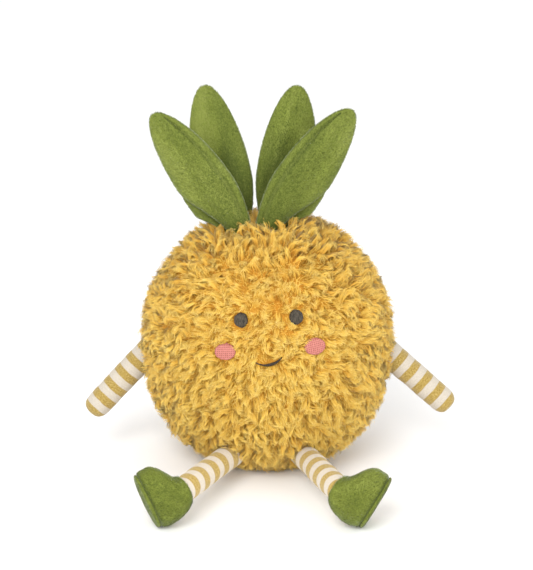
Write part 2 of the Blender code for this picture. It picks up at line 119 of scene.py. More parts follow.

# What shows of them: stripes, how far the tubes go into body and boot, the cuff's turn, the rounded sole's rings
# as depth, share of the outline and painted shade along its seam with the upper.
ARM_PITCH = 0.0113
LEG_PITCH = 0.0142
BAND_SHIFT = {"arm_left": 0.0080, "arm_right": 0.0086, "leg_left": 0.0141, "leg_right": 0.0036}
RIB_PITCH = 0.0009
ROW_PITCH = 0.0008
LIMB_TUCK = 0.008
LEG_IN_BOOT = 0.0090
CUFF_TURN = 1.4
CUFF_DROP = 0.0042
SOLE_SHARE = 0.74
SOLE_RINGS = ((-0.16, 0.80, 1.0), (-0.12, 0.88, 0.9), (-0.02, 0.93, 0.8), (0.10, 0.955, 0.4),
              (0.26, 0.970, 0.0), (0.46, 0.965, 0.0), (0.66, 0.935, 0.0), (0.84, 0.87, 0.0),
              (0.94, 0.76, 0.0), (1.0, 0.62, 0.0), (1.02, 0.42, 0.0), (1.03, 0.2, 0.0))
BOOT_PILE_TURN = 0.0011 * 72 / (2 * math.pi)

# Embroidered face: across and up on the body's front, then width and height.
FACE_TILT = 7.0
FACE = {
    "eye_left": (-0.0174, 0.1235, 0.0088, 0.0102),
    "eye_right": (0.0187, 0.1253, 0.0088, 0.0102),
    "cheek_left": (-0.0277, 0.1023, 0.0138, 0.0112),
    "cheek_right": (0.0310, 0.1055, 0.0138, 0.0112),
}
MOUTH_PLACE = (0.0011, 0.0972)
MOUTH_TILT = 12.0
MOUTH_WIDTH = 0.0180
MOUTH_SAG = 0.0036
THREAD_PITCH = 0.00075
NEEDLE_PITCH = 0.00135

# Velour colours, dark to light, then the studio: each light's place, aim, size and power.
LEAF_TONES = ((0.075, 0.105, 0.010), (0.165, 0.205, 0.026), (0.290, 0.330, 0.070))
BOOT_TONES = ((0.080, 0.108, 0.010), (0.165, 0.200, 0.024), (0.270, 0.310, 0.060))
LIGHTS = {"key": ((-0.34, -1.10, 1.02), (0, 0, 0.10), 0.80, 13.0),
          "low_fill": ((0.60, -1.32, 0.34), (0, 0, 0.08), 1.10, 9.0)}
SKY_STRENGTH = 1.03
FLOOR_SIZE = 6.0
CAMERA_LENS = 120.7
CAMERA_TILT = 20.0
CAMERA_DISTANCE = 1.3
CAMERA_AIM = Vector((-0.0007, 0.0, 0.125))


# ---- meshes

def grid_mesh(name, points, quads, normals=None):
    mesh = bpy.data.meshes.new(name)
    points = np.asarray(points, np.float32)
    quads = np.asarray(quads, np.int32)
    mesh.vertices.add(len(points))
    mesh.vertices.foreach_set("co", points.ravel())
    mesh.loops.add(quads.size)
    mesh.loops.foreach_set("vertex_index", quads.ravel())
    mesh.polygons.add(len(quads))
    mesh.polygons.foreach_set("loop_start", np.arange(0, quads.size, 4, dtype=np.int32))
    mesh.update(calc_edges=True)
    mesh.shade_smooth()
    if normals is not None:
        mesh.normals_split_custom_set_from_vertices(np.asarray(normals, np.float32))
    return mesh


def rings_mesh(name, rings, close_start=True):
    """A tube through closed rings, with a fan to a middle point at its far end and, if closed, at its start."""
    rings = np.asarray(rings, float)
    levels, count, _ = rings.shape
    points = list(rings.reshape(-1, 3))
    after = [(i, (i + 1) % count) for i in range(count)]
    faces = [(a + i, a + j, a + count + j, a + count + i)
             for a in range(0, (levels - 1) * count, count) for i, j in after]
    if close_start:
        faces += [(len(points), j, i) for i, j in after]
        points.append(rings[0].mean(0))
    last = (levels - 1) * count
    faces += [(len(points), last + i, last + j) for i, j in after]
    points.append(rings[-1].mean(0))
    mesh = bpy.data.meshes.new(name)
    mesh.from_pydata([tuple(p) for p in points], [], faces)
    mesh.update()
    mesh.shade_smooth()
    return mesh


def outward(mesh):
    """Turns a closed mesh's faces outwards."""
    shape = bmesh.new()
    shape.from_mesh(mesh)
    bmesh.ops.recalc_face_normals(shape, faces=shape.faces)
    shape.to_mesh(mesh)
    shape.free()
    return mesh


def add_piece(name, mesh, material, replaced=()):
    piece = bpy.data.objects.new(name, mesh)
    bpy.context.scene.collection.objects.link(piece)
    mesh.materials.append(material)
    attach(piece, "root")
    if replaced:
        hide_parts(*replaced)
    return piece


def set_floats(mesh, name, values):
    attribute = mesh.attributes.new(name, "FLOAT", "POINT")
    attribute.data.foreach_set("value", np.asarray(values, np.float32))


def set_vectors(mesh, name, values):
    attribute = mesh.attributes.new(name, "FLOAT_VECTOR", "POINT")
    attribute.data.foreach_set("vector", np.asarray(values, np.float32).ravel())


def read(items, name, size, kind=float):
    """What each item of a mesh holds under a name, one row of numbers an item."""
    raw = np.zeros(len(items) * size, np.float32 if kind is float else np.int32)
    items.foreach_get(name, raw)
    return raw.reshape(-1, size).astype(kind)


def circle(count):
    """Evenly spaced angles once round."""
    return [2 * math.pi * i / count for i in range(count)]


def unit(v):
    return v / np.maximum(np.linalg.norm(v, axis=-1, keepdims=True), 1e-12)


def flattened(way, out):
    """The part of each way at right angles to its out."""
    return way - out * np.sum(way * out, -1, keepdims=True)


def turned(way, side, angle):
    """Each way turned by its angle towards its side."""
    return way * np.cos(angle)[..., None] + side * np.sin(angle)[..., None]


# ---- materials

class Paint:
    """A node material built step by step."""

    def __init__(self, name, roughness):
        self.material = bpy.data.materials.new(name)
        self.material.use_nodes = True
        self.tree = self.material.node_tree
        self.shader = self.tree.nodes["Principled BSDF"]
        self.shader.inputs["Roughness"].default_value = roughness
        self.shader.inputs["Specular IOR Level"].default_value = 0.25

    def put(self, socket, value):
        """A number, a colour or another node's output into a socket."""
        if isinstance(value, (int, float)):
            socket.default_value = value
        elif isinstance(value, tuple):
            socket.default_value = (*value, 1.0)
        else:
            self.tree.links.new(value, socket)

    def node(self, kind, inputs, **settings):
        made = self.tree.nodes.new(kind)
        for key, value in settings.items():
            setattr(made, key, value)
        for key, value in inputs.items():
            self.put(made.inputs[key], value)
        return made

    def attribute(self, name, output="Fac"):
        return self.node("ShaderNodeAttribute", {}, attribute_name=name).outputs[output]

    def math(self, operation, a, b=0.0, c=0.0):
        return self.node("ShaderNodeMath", {0: a, 1: b, 2: c}, operation=operation).outputs[0]

    def noise(self, vector, scale, detail=3.0, roughness=0.55):
        settings = {"Vector": vector, "Scale": scale, "Detail": detail, "Roughness": roughness}
        return self.node("ShaderNodeTexNoise", settings).outputs["Fac"]

    def ramp(self, value, stops):
        made = self.node("ShaderNodeValToRGB", {"Fac": value})
        ramp = made.color_ramp
        while len(ramp.elements) < len(stops):
            ramp.elements.new(0.5)
        for element, (place, colour) in zip(ramp.elements, stops):
            element.position = place
            element.color = (*colour, 1.0)
        return made.outputs["Color"]

    def mix(self, factor, a, b, blend="MIX"):
        made = self.node("ShaderNodeMix", {0: factor, 6: a, 7: b}, data_type="RGBA", blend_type=blend)
        return made.outputs[2]

    def split(self, vector):
        made = self.node("ShaderNodeSeparateXYZ", {0: vector})
        return made.outputs["X"], made.outputs["Y"]

    def rise(self, value, low, high):
        """0 up to low, 1 from high."""
        made = self.node("ShaderNodeMapRange", {"Value": value, "From Min": low, "From Max": high})
        return made.outputs["Result"]

    def wave(self, value, period):
        return self.math("SINE", self.math("MULTIPLY", value, 2 * math.pi / period))

    def bump(self, height, strength, distance):
        made = self.node("ShaderNodeBump", {"Height": height, "Strength": strength, "Distance": distance})
        self.put(self.shader.inputs["Normal"], made.outputs["Normal"])

    def sheen(self, weight, roughness, tint):
        for key, value in {"Weight": weight, "Roughness": roughness, "Tint": tint}.items():
            self.put(self.shader.inputs["Sheen " + key], value)

    def two_sided(self):
        """A fibre's back is lit just as its front is."""
        surface = self.node("ShaderNodeNewGeometry", {})
        side = self.math("MULTIPLY_ADD", surface.outputs["Backfacing"], -2.0, 1.0)
        facing = self.node("ShaderNodeVectorMath", {0: surface.outputs["Normal"], "Scale": side}, operation="SCALE")
        self.put(self.shader.inputs["Normal"], facing.outputs[0])

    def place(self):
        return self.node("ShaderNodeTexCoord", {}).outputs["Object"]

    def colour(self, value):
        self.put(self.shader.inputs["Base Color"], value)


def fibre_material(name, roughness, along_stops, tint_stops, *sheen):
    """Fibres coloured by how far along them, darker towards the root as painted shade low in the pile, times a tint
    each.
    """
    paint = Paint(name, roughness)
    along = paint.ramp(paint.attribute("along"), along_stops)
    own = paint.ramp(paint.attribute("tint"), tint_stops)
    paint.colour(paint.mix(1.0, along, own, "MULTIPLY"))
    paint.sheen(*sheen)
    paint.two_sided()
    return paint.material


def fur_material():
    return fibre_material(
        "curly_plush", 0.72,
        ((0.0, (0.74, 0.35, 0.035)), (0.35, (0.82, 0.46, 0.060)), (0.70, (0.87, 0.57, 0.100)), (1.0, (0.93, 0.71, 0.22))),
        ((0.0, (0.84, 0.70, 0.50)), (0.5, (0.97, 0.95, 0.92)), (1.0, (1.0, 1.0, 1.0))),
        0.25, 0.5, (1.0, 0.85, 0.55))


def skin_material():
    paint = Paint("plush_backing", 0.95)
    speckle = paint.noise(paint.place(), 700.0)
    paint.colour(paint.ramp(speckle, ((0.3, (0.60, 0.27, 0.030)), (0.7, (0.76, 0.38, 0.050)))))
    paint.bump(speckle, 0.8, 0.0008)
    return paint.material


def velour_material(name, dark, mid, light):
    paint = Paint(name, 0.78)
    pile = paint.attribute("pile", "Vector")
    streak = paint.noise(pile, 260.0, 4.0, 0.6)
    patch = paint.noise(pile, 55.0, 2.0, 0.5)
    grain = paint.noise(paint.place(), 1500.0, 2.0, 0.6)
    level = paint.math("MULTIPLY_ADD", patch, 0.62, paint.math("MULTIPLY", streak, 0.38))
    base = paint.ramp(level, ((0.36, dark), (0.52, mid), (0.66, light)))
    # Painted shade: the painted shading attribute darkens the cloth in seams, hollows and low down.
    base = paint.mix(paint.attribute("painted_shading"), base, tuple(0.35 * value for value in dark))
    paint.colour(paint.mix(0.35, base, paint.ramp(grain, ((0.35, dark), (0.65, light)))))
    paint.bump(paint.math("MULTIPLY_ADD", streak, 0.5, grain), 0.55, 0.0006)
    paint.sheen(0.45, 0.40, (0.80, 0.92, 0.55))
    return paint.material


def fuzz_material(name, dark, mid, light):
    return fibre_material(name, 0.75, ((0.0, (0.55, 0.55, 0.5)), (1.0, (1.0, 1.0, 1.0))),
                          ((0.0, dark), (0.5, mid), (1.0, light)), 0.60, 0.40, (0.84, 0.94, 0.62))


def jersey_material(name, pitch, level):
    paint = Paint(name, 0.85)
    cloth = paint.attribute("cloth", "Vector")
    around, along = paint.split(cloth)
    wobble = paint.math("MULTIPLY", paint.math("SUBTRACT", paint.noise(cloth, 120.0, 1.0), 0.5), 0.0009)
    turn = paint.math("FRACT", paint.math("DIVIDE", paint.math("ADD", along, wobble), pitch))
    band = paint.math("SUBTRACT", 0.25, paint.math("ABSOLUTE", paint.math("SUBTRACT", turn, 0.5)))
    heather = paint.noise(cloth, 1000.0, 2.0, 0.7)
    mustard = paint.ramp(heather, ((0.32, (0.27, 0.165, 0.028)), (0.50, (0.42, 0.29, 0.070)),
                                   (0.68, (0.58, 0.43, 0.16))))
    cream = paint.ramp(heather, ((0.3, (0.54, 0.475, 0.405)), (0.7, (0.68, 0.62, 0.55))))
    striped = paint.mix(paint.rise(band, -0.022, 0.022), cream, mustard)
    # The level scales this copy's colour: painted shade on the arms' copy, painted light on the legs'.
    paint.colour(paint.mix(1.0, striped, (level, level, 0.96 * level), "MULTIPLY"))
    ribs, rows = paint.wave(around, RIB_PITCH), paint.wave(along, ROW_PITCH)
    knit = paint.math("MULTIPLY_ADD", ribs, 0.5, paint.math("MULTIPLY_ADD", rows, 0.35, heather))
    paint.bump(knit, 0.35, 0.0003)
    paint.sheen(0.3, 0.5, (1.0, 0.95, 0.85))
    return paint.material


def thread_material(name, dark, light, hole_shade=None):
    """Embroidery thread, with painted shade in the needle-hole dots between the threads where a colour is given for
    it.
    """
    paint = Paint(name, 0.62)
    grain = paint.noise(paint.attribute("cloth", "Vector"), 900.0, 2.0, 0.6)
    colour = paint.ramp(grain, ((0.38, dark), (0.68, light)))
    if hole_shade is not None:
        across, up = paint.split(paint.attribute("flat", "Vector"))
        columns, rows = (paint.wave(value, 2 * NEEDLE_PITCH) for value in (across, up))
        dots = paint.math("ABSOLUTE", paint.math("MULTIPLY", columns, rows))
        # Painted shade: dark dots where the needle went through.
        colour = paint.mix(paint.math("MULTIPLY", paint.rise(dots, 0.50, 0.85), 0.75), colour, hole_shade)
    paint.colour(colour)
    paint.bump(grain, 0.3, 0.0002)
    return paint.material


# ---- body surface

def body_surface(directions, inset):
    """Points and outward normals of the body's surface, straight out from its middle."""
    a, b = HALF_WIDTH - inset, HALF_DEPTH - inset
    up, low = BODY_TOP - WIDEST_HEIGHT - inset, LOWER_REACH - inset
    d = unit(np.asarray(directions, float))
    reach = np.where(d[:, 2] > 0, up, low)
    flat = (d[:, 0] / a) ** 2 + (d[:, 1] / b) ** 2
    value = flat ** (ROUNDNESS / 2) + (np.abs(d[:, 2]) / reach) ** ROUNDNESS
    q = d * (value ** (-1 / ROUNDNESS))[:, None]
    flat = (q[:, 0] / a) ** 2 + (q[:, 1] / b) ** 2
    scale = np.maximum(flat, 1e-9) ** (ROUNDNESS / 2 - 1)
    slope = np.stack([scale * q[:, 0] / a**2, scale * q[:, 1] / b**2,
                      np.sign(q[:, 2]) * (np.abs(q[:, 2]) / reach) ** (ROUNDNESS - 1) / reach], 1)
    return q + np.array([0, 0, WIDEST_HEIGHT]), unit(slope)


def front_point(across, height):
    """The point on the body's front at a place across and up, and the direction straight out of it."""
    up, low = BODY_TOP - WIDEST_HEIGHT, LOWER_REACH
    reach = up if height > WIDEST_HEIGHT else low
    off = (height - WIDEST_HEIGHT) / reach
    share = (1 - abs(off) ** ROUNDNESS) ** (1 / ROUNDNESS)
    ahead = HALF_DEPTH * math.sqrt(max(0.0, share**2 - (across / HALF_WIDTH) ** 2))
    round_part = (across / HALF_WIDTH) ** 2 + (ahead / HALF_DEPTH) ** 2
    scale = round_part ** (ROUNDNESS / 2 - 1)
    slope = Vector((scale * across / HALF_WIDTH**2, -scale * ahead / HALF_DEPTH**2,
                    math.copysign(abs(off) ** (ROUNDNESS - 1), off) / reach))
    return Vector((across, -ahead, height)), slope.normalized()


def face_frame(across, height, turn=FACE_TILT):
    point, out = front_point(across, height)
    level = Vector((0, 0, 1)).cross(out).normalized()
    upright = out.cross(level)
    tilt = Matrix.Rotation(math.radians(turn), 3, out)
    return point, out, tilt @ -level, tilt @ upright


def make_skin(material):
    columns, rows = 120, 80
    directions = []
    for row in range(rows + 1):
        rise = math.pi * (row / rows - 0.5)
        for turn in circle(columns):
            flat = math.cos(rise)
            directions.append((flat * math.cos(turn) + 1e-6, flat * math.sin(turn), math.sin(rise)))
    points, normals = body_surface(np.array(directions), SKIN_INSET)
    lumps = np.array([noise.noise(Vector(p) / 0.004) + 0.5 * noise.noise(Vector(p) / 0.0017) for p in points])
    points = points + normals * (lumps * 0.0009)[:, None]
    points[:, 2] = np.maximum(points[:, 2], 0.0012)
    rings = points.reshape(rows + 1, columns, 3)
    mesh = outward(rings_mesh("body_plush_backing", rings[1:-1]))
    panels = ("body_front_panel", "body_back_panel", "body_base_panel", "body_stuffing", "bean_pouch")
    add_piece("body_plush_backing", mesh, material, panels)


# ---- limbs' places

def frame_of(direction, hint):
    along = (hint - direction * hint.dot(direction)).normalized()
    return along, direction.cross(along)


def arm_place(side, below, forward):
    down, swing = math.radians(below), math.radians(forward)
    direction = Vector((side * math.cos(down), -math.sin(swing) * math.cos(down), -math.sin(down))).normalized()
    off = (ARM_HEIGHT - WIDEST_HEIGHT) / LOWER_REACH
    share = (1 - abs(off) ** ROUNDNESS) ** (1 / ROUNDNESS)
    return Vector((side * HALF_WIDTH * share, 0, ARM_HEIGHT)), direction


class Boot:
    """The boot's frame: toe is along its sole, out is straight out of the sole, wide is across it."""

    def __init__(self, place):
        side, _, heading, turn, tilt = place
        turned, tilted, ahead = math.radians(turn), math.radians(tilt), math.radians(heading)
        self.side = side
        level = Vector((side * math.cos(turned), -math.sin(turned), 0))
        self.toe = level * math.sin(tilted) + Vector((0, 0, math.cos(tilted)))
        self.out = level * math.cos(tilted) - Vector((0, 0, math.sin(tilted)))
        self.wide = self.out.cross(self.toe)
        level_leg = Vector((side * math.sin(ahead), -math.cos(ahead), 0))
        start, _ = front_point(side * place[1], LEG_HEIGHT)
        height = self.resting_height()
        rise = height - start.z
        self.start = start
        self.ankle = start + level_leg * math.sqrt(LEG_LENGTH**2 - rise**2) + Vector((0, 0, rise))
        self.leg = (self.ankle - start).normalized()
        self.under = self.ankle + self.out * BOOT_HEIGHT

    def resting_height(self):
        heel = BOOT_LENGTH * HEEL_SHARE
        full_up = BOOT_HEIGHT * (1 - BOOT_FULL_AT)
        fullest = -self.toe.z * (heel + BOOT_SWELL) - self.out.z * full_up
        edge = min(point.z for ring in self.sole_rings(Vector((0, 0, 0)), 20) for point in ring)
        return FLOOR_GAP - min(fullest, edge) - self.out.z * BOOT_HEIGHT

    def oval(self, centre, along, across, reach, half_across, count):
        ahead, behind = reach
        ring = []
        for angle in circle(count):
            far = ahead if math.cos(angle) > 0 else behind
            ring.append(centre + along * (far * math.cos(angle)) + across * (half_across * math.sin(angle)))
        return ring

    def sole_ring(self, centre, share, count):
        toe = BOOT_LENGTH * (1 - HEEL_SHARE) * share
        heel = BOOT_LENGTH * HEEL_SHARE * share
        return self.oval(centre, self.toe, self.wide, (toe, heel), BOOT_WIDTH / 2 * share, count)

    def sole_rings(self, centre, count):
        return [self.sole_ring(centre + self.out * (BOOT_GAP + SOLE_THICKNESS * depth), share, count)
                for depth, share in ((0.0, 1.0), (0.45, 0.99), (0.82, 0.88), (1.0, 0.66))]

    def ring(self, t, count):
        ankle_radius = LEG_RADIUS + BOOT_GAP + BOOT_PANEL
        first = self.ankle + self.leg * (BOOT_HEIGHT * 0.36)
        second = self.under - self.out * (BOOT_HEIGHT * 0.40)
        s = 1 - t
        cuff = self.ankle + self.leg * CUFF_DROP
        centre = cuff * s**3 + first * (3 * s * s * t) + second * (3 * s * t * t) + self.under * t**3
        normal = (self.leg * s + self.out * (t + CUFF_TURN * s)).normalized()
        along, across = frame_of(normal, self.toe)
        rise = min(1.0, t / BOOT_FULL_AT)
        instep = (1 - math.cos(math.pi * rise**BOOT_INSTEP)) / 2
        flank = math.sin(math.pi / 2 * rise)
        spare = BOOT_SWELL * math.cos(math.pi / 2 * max(0.0, t - BOOT_FULL_AT) / (1 - BOOT_FULL_AT))
        toe = ankle_radius + (BOOT_LENGTH * (1 - HEEL_SHARE) - ankle_radius) * instep
        heel = ankle_radius + (BOOT_LENGTH * HEEL_SHARE + spare - ankle_radius) * flank
        half = ankle_radius + (BOOT_WIDTH / 2 + spare - ankle_radius) * flank
        return self.oval(centre, along, across, (toe, heel), half, count), centre


arms = {name: arm_place(*place) for name, place in ARMS.items()}
boots = {side: Boot(place) for side, place in LEGS.items()}


# ---- curly plush

def lock_roots(random):
    """Places for the locks, evenly spread over the body, and the direction straight out at each."""
    points, normals = body_surface(random.normal(size=(60000, 3)), SKIN_INSET)
    keep = points[:, 2] > 0.0020
    points, normals = points[keep], normals[keep]
    found, chosen = {}, []
    for i, point in enumerate(points):
        a, b, c = (int(value // LOCK_SPACING) for value in point)
        near = [j for x in (a - 1, a, a + 1) for y in (b - 1, b, b + 1) for z in (c - 1, c, c + 1)
                for j in found.get((x, y, z), ())]
        if not near or np.linalg.norm(points[near] - point, axis=1).min() >= LOCK_SPACING:
            found.setdefault((a, b, c), []).append(i)
            chosen.append(i)
    return points[chosen], normals[chosen]


def patch_frames():
    """Each embroidered patch: its frame, half its width and height, and the share of it kept clear of fur."""
    frames = []
    for across, height, width, tall in FACE.values():
        frames.append((*face_frame(across, height), width / 2, tall / 2, 0.90))
    point, out, sideways, up = face_frame(*MOUTH_PLACE, MOUTH_TILT)
    frames.append((point - up * MOUTH_SAG * 0.1, out, sideways, up, MOUTH_WIDTH * 0.44, 0.0017, 0.72))
    return frames


def patch_share(points, patch):
    """How far points lie from a patch's middle, 1 at its edge; the way out from it; the gap; how far in front."""
    point, out, sideways, up, half_width, half_height, _ = (np.array(value) for value in patch)
    off = points - point
    x, y = off @ sideways, off @ up
    share = np.sqrt((x / half_width) ** 2 + (y / half_height) ** 2)
    way = x[..., None] * sideways + y[..., None] * up
    gap = np.linalg.norm(way, axis=-1) * (1 - 1 / np.maximum(share, 1e-6))
    return share, unit(way), np.maximum(gap, 0), off @ out


def in_limbs(points, spare=0.0, share=1.0, arm_back=LIMB_BACK):
    """Which points lie in an arm or a leg, counted from a little behind the place where it leaves the body."""
    limbs = [(*place, ARM_RADIUS, arm_back) for place in arms.values()]
    limbs += [(boot.start, boot.leg, LEG_RADIUS, LIMB_BACK) for boot in boots.values()]
    inside = np.zeros(points.shape[:-1], bool)
    for start, direction, radius, back in limbs:
        off = points - np.array(start)
        along = off @ np.array(direction)
        side = np.linalg.norm(off - along[..., None] * np.array(direction), axis=-1)
        inside |= (side < radius * share + spare) & (along > -back)
    return inside


def flow_at(points, normals):
    """Which way the plush lies: down and away from the face, with swirls."""
    away = points - np.array([0.0, -0.070, 0.106])
    near = np.exp(-np.linalg.norm(away, axis=1) / 0.09)
    shifts = [Vector((7.1 * k, 3.3, 1.7 * k)) for k in range(3)]
    swirl = np.array([[noise.noise(Vector(p) / 0.017 + shift) for shift in shifts] for p in points])
    flow = np.array([0.0, 0.0, -0.62]) + unit(away) * (0.75 * near)[:, None] + swirl * 1.5
    return unit(flattened(flow, normals))


def make_fur(material):
    """Curled locks of flat fibres: where each lock stands and lies, then its strands."""
    random = np.random.default_rng(20)
    roots, normals = lock_roots(random)
    count = len(roots)
    outer = roots + normals * (SKIN_INSET + 0.001)
    patches = patch_frames()
    keep = np.ones(count, bool)
    height, reach = np.ones(count), np.ones(count)
    flow = flow_at(roots, normals)
    flow = turned(flow, np.cross(normals, flow), random.normal(0, 0.70, count))
    for patch in patches:
        share, way, gap, front = patch_share(outer, patch)
        ahead = front > -PATCH_DEPTH
        keep &= ~((share < 1.04) & ahead)
        close = np.where(ahead, np.exp(-gap / 0.0042), 0.0)
        flow = flow * (1 - 0.6 * close)[:, None] + way * (0.6 * close)[:, None]
        height *= 1 - 0.36 * close
        reach *= 1 - 0.25 * close
    flow = unit(flattened(flow, normals))
    keep &= ~in_limbs(roots, 0.0004, arm_back=0.003)
    for widths_across, offset_y, *_ in LEAVES.values():
        x = (outer[:, 0] - LEAF_CENTRE_X - widths_across * LEAF_WIDTH) / 0.0120
        y = (outer[:, 1] - offset_y) / 0.0046
        keep &= ~((x**2 + y**2 < 1) & (outer[:, 2] > 0.12))
    height *= 0.55 + 0.45 * np.clip((outer[:, 2] - 0.004) / 0.02, 0.0, 1.0)
    crown = np.clip((outer[:, 2] - 0.147) / 0.014, 0.0, 1.0)
    height *= 1 + 0.50 * crown
    reach *= 1 - 0.10 * crown
    roots, normals, flow, height, reach = (v[keep] for v in (roots, normals, flow, height, reach))
    count = len(roots)
    side = np.cross(normals, flow)
    height = height * FUR_HEIGHT * random.uniform(0.86, 1.14, count)
    reach = reach * FUR_REACH * random.uniform(0.75, 1.30, count)
    # Locks higher on the body get a lower tint: darker and more orange towards the top.
    higher_up = np.clip((roots[:, 2] - 0.105) / 0.03, 0.0, 1.0)
    lock_tint = np.clip(random.normal(0.52, 0.17, count) - 0.16 * higher_up, 0, 1)
    lock_phase = random.uniform(0, 2 * math.pi, count)
    lock_curl = random.uniform(0.0007, 0.0026, count)
    lock_bend = random.normal(0, 0.0016, count)

    strands = count * LOCK_STRANDS
    lock = np.repeat(np.arange(count), LOCK_STRANDS)
    spread = np.sqrt(random.uniform(0, 1, strands)) * LOCK_RADIUS
    turn = random.uniform(0, 2 * math.pi, strands)
    across, ahead = spread * np.cos(turn), spread * np.sin(turn)
    length = random.uniform(0.58, 1.12, strands)
    stray = random.normal(0, 0.00062, (strands, 3))
    twist = random.normal(0, 0.55, strands)
    tint = np.clip(lock_tint[lock] + random.normal(0, 0.16, strands), 0.01, 0.99)
    wave = random.normal(0, 0.35, strands)

    root, n, f, b, tall, ahead_of, phase, curls, bends = (v[lock] for v in (
        roots, normals, flow, side, height, reach, lock_phase, lock_curl, lock_bend))
    lines = []
    for step in range(STRAND_STEPS + 1):
        s = (step / STRAND_STEPS) * length
        rise = tall * (2.25 * s * (1 - s) + 0.84 * s * s)
        far = ahead_of * s**1.8
        close = 1 - 0.26 * np.clip(s, 0, 1) ** 1.5
        curl = curls * (np.sin(5.2 * s + phase + wave) - np.sin(phase)) * s + bends * s * s
        centre = root + n * (rise - 0.0006)[:, None] + f * far[:, None] + b * curl[:, None]
        lift = (f * (1 - s)[:, None] + n * (0.75 * s)[:, None]) * (ahead * close)[:, None]
        lines.append(centre + b * (across * close)[:, None] + lift + stray * (s * 1.4)[:, None])
    lines = np.stack(lines, 1)

    good = ~in_limbs(lines[:, 1:], share=0.97, arm_back=0.0078).any(1)
    for patch in patches:
        share, _, _, front = patch_share(lines, patch)
        good &= ~((share < patch[-1]) & (front > -0.0022)).any(1)
    lines, lock, tint, twist, across, ahead = (v[good] for v in (lines, lock, tint, twist, across, ahead))
    lines[:, :, 2] = np.maximum(lines[:, :, 2], FLOOR_CLEAR)

    tangent = unit(np.gradient(lines, axis=1))
    radial = side[lock] * (across / LOCK_RADIUS)[:, None]
    radial = radial + normals[lock] * (0.55 + 0.5 * ahead / LOCK_RADIUS)[:, None]
    facing = unit(flattened(radial[:, None, :], tangent))
    flat = np.cross(tangent, facing)
    wide = turned(flat, facing, twist[:, None]) * (STRAND_WIDTH / 2 * np.array(STRAND_TAPER))[None, :, None]
    shown = unit(normals[lock][:, None, :] * 0.75 + unit(turned(facing, -flat, twist[:, None])) * 0.55)

    order = np.argsort(lines[:, 0, 1] > 0, kind="stable")
    steps = np.linspace(0, 1, STRAND_STEPS + 1)
    for part in range(FUR_PIECES):
        chosen = order[part * len(lines) // FUR_PIECES:(part + 1) * len(lines) // FUR_PIECES]
        ribbon_piece("body_curls_%d" % (part + 1), lines[chosen], wide[chosen], steps, tint[chosen], material,
                     shown[chosen])


def make_undercoat(material):
    """Short soft fibres between the curls, so that no backing shows."""
    random = np.random.default_rng(31)
    roots, normals = body_surface(random.normal(size=(UNDERCOAT, 3)), SKIN_INSET)
    keep = (roots[:, 2] > 0.0015) & ~in_limbs(roots, 0.0003)
    outer = roots + normals * SKIN_INSET
    height = np.full(len(roots), UNDERCOAT_HEIGHT)
    for patch in patch_frames():
        share, _, gap, front = patch_share(outer, patch)
        ahead = front > -PATCH_DEPTH
        keep &= ~((share < 0.99) & ahead)
        height = np.where(ahead, height * (1 - 0.12 * np.exp(-gap / 0.004)), height)
    roots, normals, height = roots[keep], normals[keep], height[keep]
    count = len(roots)
    flow = flow_at(roots, normals)
    side = np.cross(normals, flow)
    way = turned(flow, side, random.normal(0, 0.9, count))
    height = height * random.uniform(0.75, 1.2, count)
    reach = 0.0024 * random.uniform(0.4, 1.4, count)
    lines = np.stack([roots - normals * 0.0005 + normals * (height * (1.45 * s - 0.45 * s * s))[:, None]
                      + way * (reach * s * s)[:, None] for s in (0.0, 0.5, 1.0)], 1)
    lines[:, :, 2] = np.maximum(lines[:, :, 2], FLOOR_CLEAR)
    tangent = unit(np.gradient(lines, axis=1))
    aside = turned(flow, side, random.uniform(0, math.pi, count))
    wide = unit(np.cross(tangent, aside[:, None, :]))
    wide *= np.sign(np.sum(np.cross(wide, tangent) * way[:, None, :], 2, keepdims=True) + 1e-9)
    wide *= 0.00024 * np.array([1.0, 1.0, 0.45])[None, :, None]
    tint = np.clip(random.normal(0.5, 0.2, count), 0.01, 0.99)
    shown = unit(normals + 0.4 * way)[:, None, :]
    ribbon_piece("body_undercoat", lines, wide, (0.25, 0.55, 0.85), tint, material, shown)


def ribbon_piece(name, lines, wide, steps, tint, material, shown):
    """Flat fibres along lines, wide to both sides, coloured by a tint each and by how far along them."""
    total, levels, _ = lines.shape
    normals = np.repeat(np.broadcast_to(shown, lines.shape)[:, :, None, :], 2, 2).reshape(-1, 3)
    points = np.stack([lines - wide, lines + wide], 2).reshape(-1, 3)
    a = np.arange(total)[:, None] * levels * 2 + np.arange(levels - 1)[None, :] * 2
    quads = np.stack([a, a + 1, a + 3, a + 2], 2).reshape(-1, 4)
    mesh = grid_mesh(name, points, quads, normals)
    along = np.broadcast_to(np.asarray(steps)[None, :, None], (total, levels, 2)).ravel()
    tints = np.broadcast_to(tint[:, None, None], (total, levels, 2))
    set_floats(mesh, "along", along)
    set_floats(mesh, "tint", tints.ravel())
    u = (tints + np.array([-0.004, 0.004])).ravel()
    corners = quads.ravel()
    flat = np.stack([u[corners], 0.01 + 0.98 * along[corners]], 1)
    mesh.uv_layers.new(name="OFBake").uv.foreach_set("vector", flat.astype(np.float32).ravel())
    add_piece(name, mesh, material)


